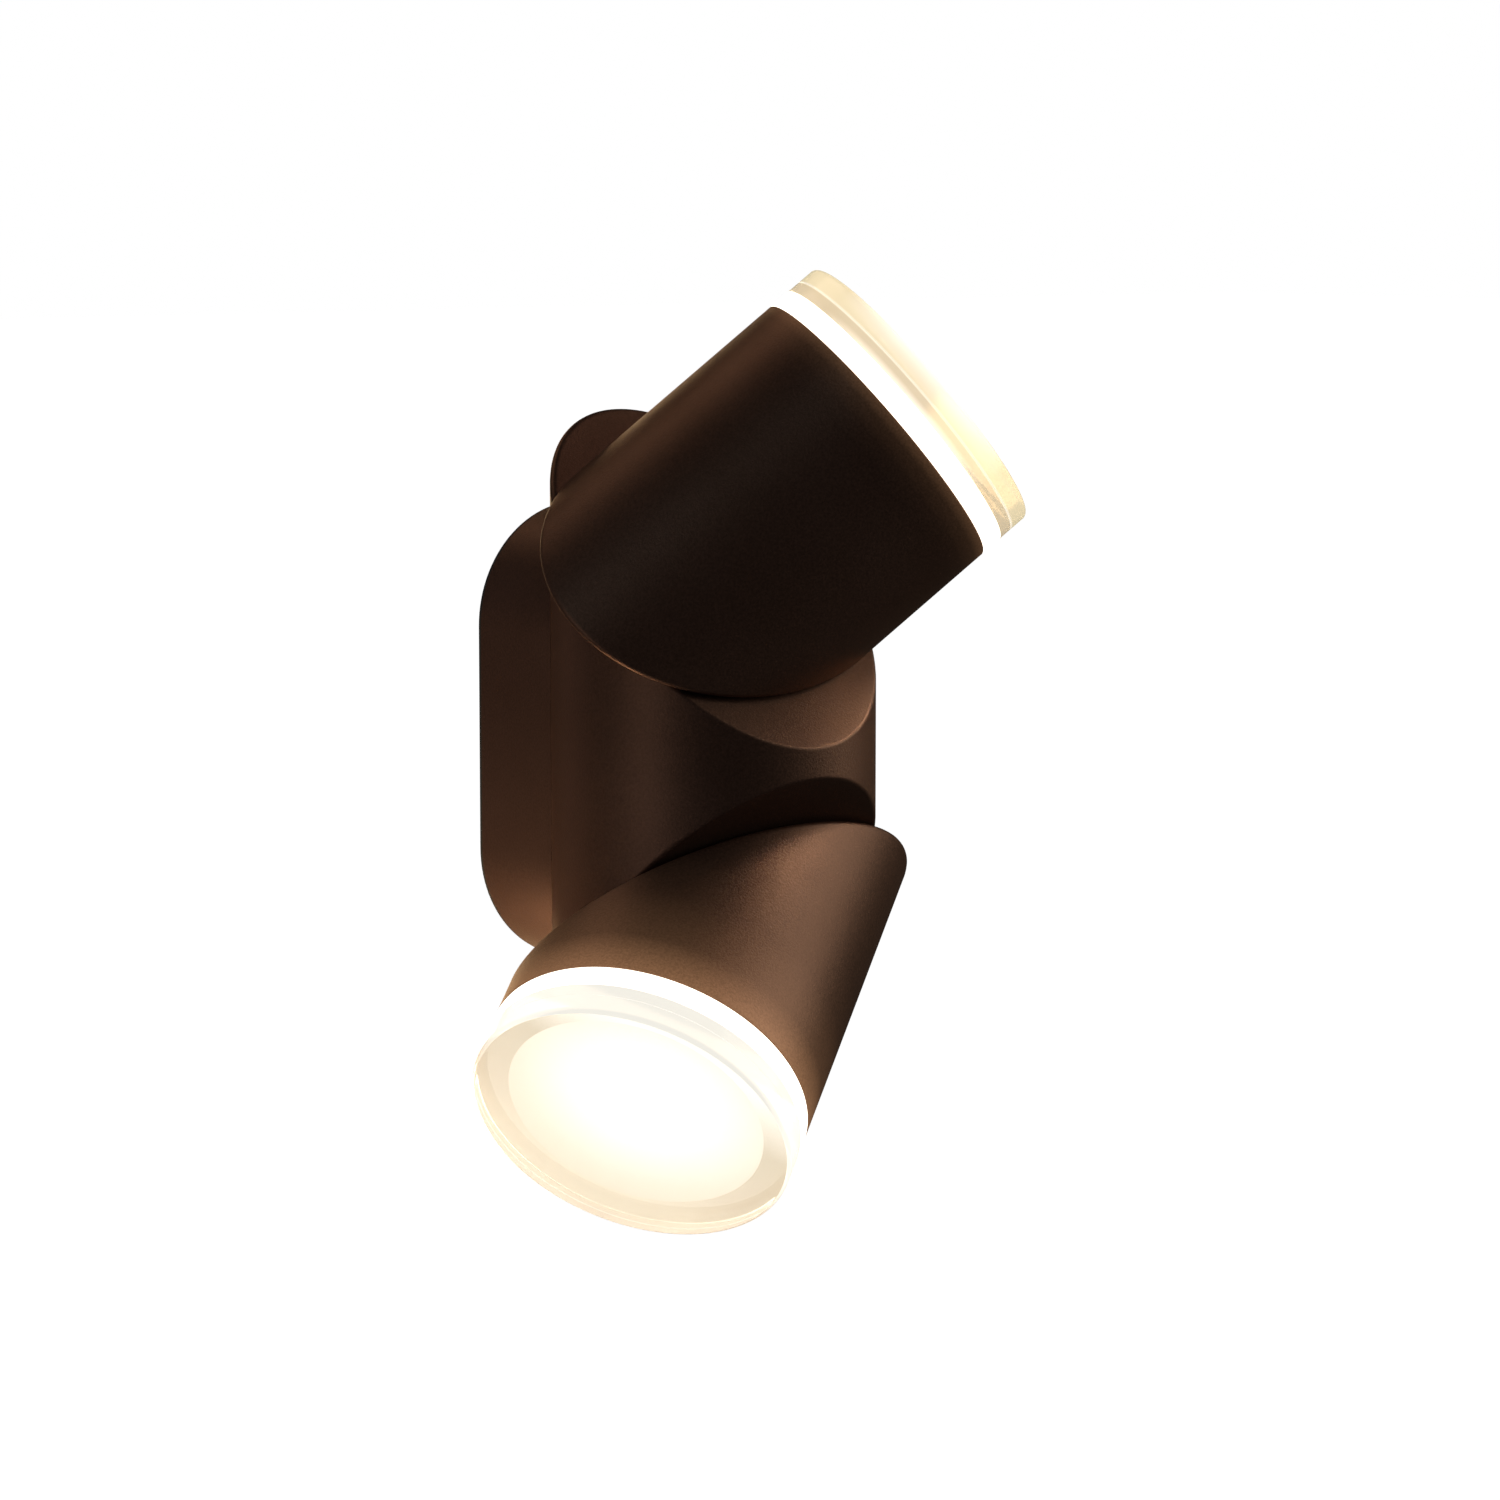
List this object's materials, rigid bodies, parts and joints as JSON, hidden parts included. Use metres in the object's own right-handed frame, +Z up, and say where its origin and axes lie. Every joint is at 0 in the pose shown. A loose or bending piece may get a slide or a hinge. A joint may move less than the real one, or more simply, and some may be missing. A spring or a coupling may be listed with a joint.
{
  "type": "pivoting spotlight wall light",
  "caption": "Outdoor wall light with an upright mitred column on a deep stadium canopy and swivelling mitred spot heads that end in a frosted glowing ring and a thick clear lens.",
  "frame": {"origin": "centre of the wall box screw pattern, on the back face of the bracket that lies on the wall", "axes": "+X right along the wall as seen from the room, +Y into the wall, +Z up"},
  "size_m": [0.187, 0.1465, 0.2914],
  "materials": {
    "bronze_coat": "die-cast aluminium with a dark bronze, finely sand-textured powder coat",
    "clear_lens": "thick clear glass puck with a polished front and rim",
    "frosted_ring": "frosted translucent acrylic that glows",
    "opal_diffuser": "opal acrylic, lit from behind",
    "led_board": "aluminium board with white solder mask",
    "led_chips": "warm white LED phosphor",
    "bare_aluminium": "bare die-cast aluminium",
    "zinc_steel": "zinc-plated steel",
    "green_screw": "green grounding screw",
    "brass": "turned brass",
    "white_plastic": "white moulded plastic",
    "black_rubber": "black silicone",
    "lead_jacket": "black cable jacket",
    "friction_plastic": "filled bearing plastic"
  },
  "bodies": {
    "column": {"column_body": "bronze_coat", "wall_canopy": "bronze_coat", "wall_gasket": "black_rubber", "mounting_bracket": "zinc_steel", "ground_screw": "green_screw", "canopy_screws": "bronze_coat", "neck_screws": "zinc_steel", "driver_plate": "zinc_steel", "led_driver": "white_plastic", "driver_screws": "zinc_steel", "terminal_block": "white_plastic", "terminal_screws": "brass", "upper_bush": "brass", "lower_bush": "brass", "upper_feed_lead": "lead_jacket", "lower_feed_lead": "lead_jacket"},
    "upper_head": {"upper_housing": "bronze_coat", "upper_spindle": "zinc_steel", "upper_spindle_screws": "zinc_steel", "upper_stop_pin": "zinc_steel", "upper_swivel_seal": "black_rubber", "upper_friction_washer": "friction_plastic", "upper_disc_spring": "zinc_steel", "upper_plain_washer": "zinc_steel", "upper_lock_nut": "brass", "upper_lead": "lead_jacket", "upper_heat_sink": "bare_aluminium", "upper_sink_screws": "zinc_steel", "upper_led_board": "led_board", "upper_led_chips": "led_chips", "upper_board_screws": "zinc_steel", "upper_reflector": "white_plastic", "upper_diffuser": "opal_diffuser", "upper_glow_ring": "frosted_ring", "upper_lens_seal": "black_rubber", "upper_lens": "clear_lens"},
    "lower_head": {"lower_housing": "bronze_coat", "lower_spindle": "zinc_steel", "lower_spindle_screws": "zinc_steel", "lower_stop_pin": "zinc_steel", "lower_swivel_seal": "black_rubber", "lower_friction_washer": "friction_plastic", "lower_disc_spring": "zinc_steel", "lower_plain_washer": "zinc_steel", "lower_lock_nut": "brass", "lower_lead": "lead_jacket", "lower_heat_sink": "bare_aluminium", "lower_sink_screws": "zinc_steel", "lower_led_board": "led_board", "lower_led_chips": "led_chips", "lower_board_screws": "zinc_steel", "lower_reflector": "white_plastic", "lower_diffuser": "opal_diffuser", "lower_glow_ring": "frosted_ring", "lower_lens_seal": "black_rubber", "lower_lens": "clear_lens"}
  },
  "joints": [
    {"name": "upper_swivel", "type": "hinge", "parent": "column", "child": "upper_head", "pos_m": [0, -0.068, 0.0546], "axis": [0, -0.7071, 0.7071], "range_deg": [-101.3, 248.7]},
    {"name": "lower_swivel", "type": "hinge", "parent": "column", "child": "lower_head", "pos_m": [0, -0.068, -0.0546], "axis": [0, -0.7071, -0.7071], "range_deg": [-97.6, 252.4]}
  ]
}
